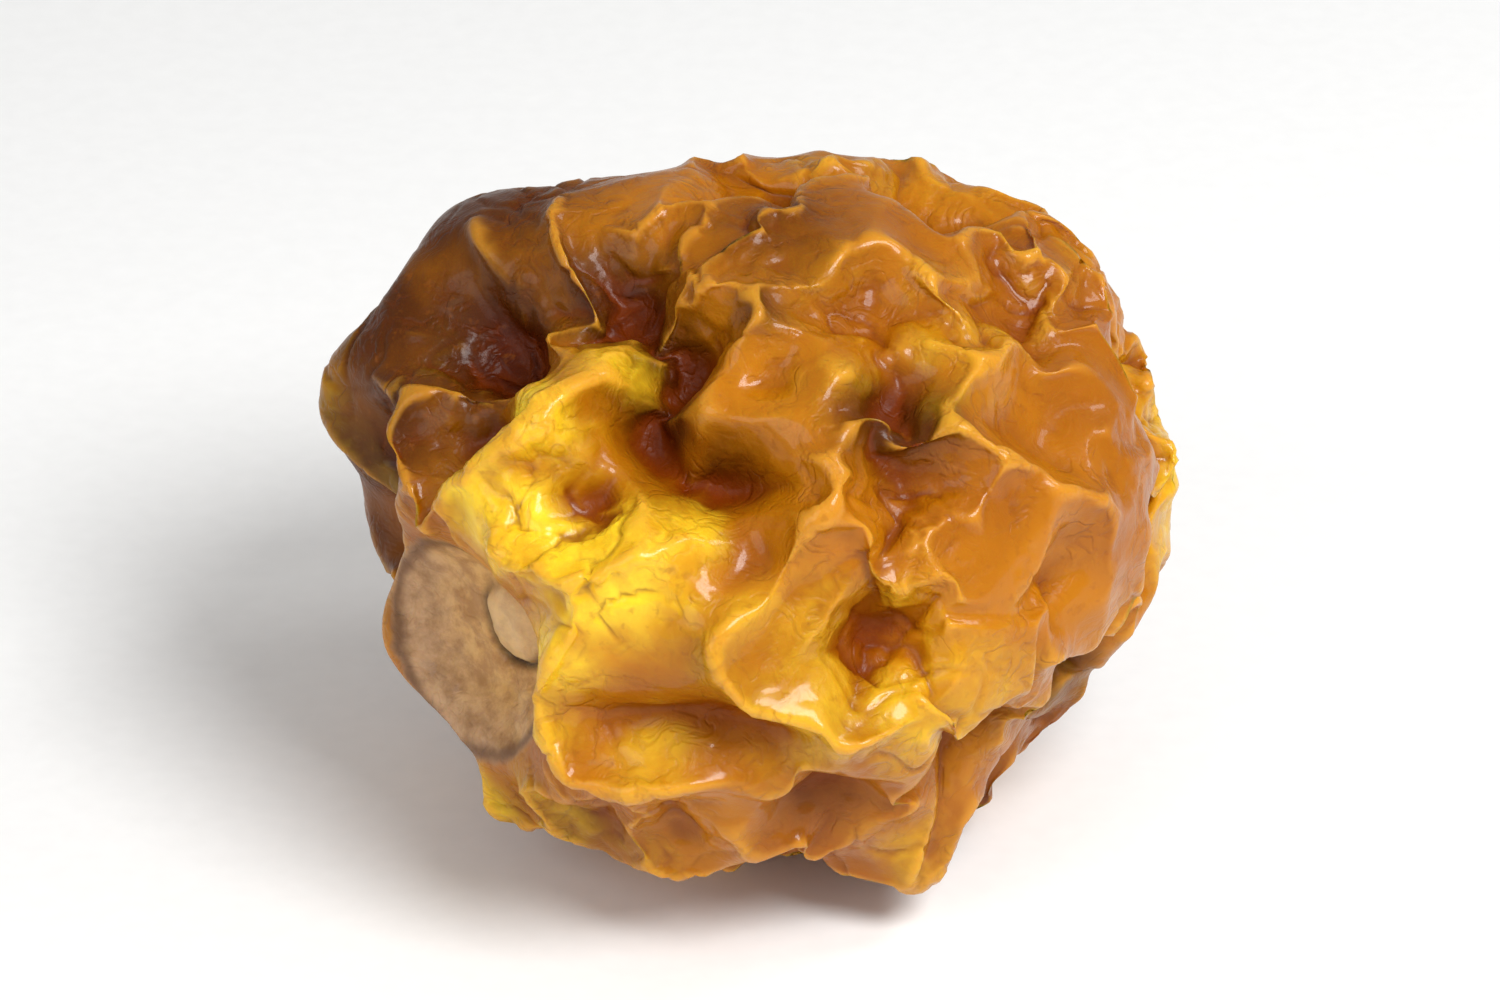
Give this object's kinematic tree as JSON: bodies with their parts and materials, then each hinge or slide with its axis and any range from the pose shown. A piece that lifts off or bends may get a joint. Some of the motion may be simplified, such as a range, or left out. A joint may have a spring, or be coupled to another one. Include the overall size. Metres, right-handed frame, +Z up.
{
  "type": "dried goldenberry",
  "caption": "Whole dried goldenberry, a small round fruit shrunk into crests and hollows, with the flat woody scar of its stalk.",
  "frame": {"origin": "on the surface the berry rests on, under the middle of its outline", "axes": "+Z up, -Y towards the viewer of the picture, +X to the viewer's right; the stalk scar faces -X and -Y"},
  "size_m": [0.0132, 0.0128, 0.0107],
  "materials": {
    "skin": "waxy, leathery dried skin, golden orange, yellow round the grey-tan stalk scar and red-brown in the deep hollows, with a soft gloss"
  },
  "bodies": {
    "root": {"dried_goldenberry": "skin"}
  },
  "joints": []
}
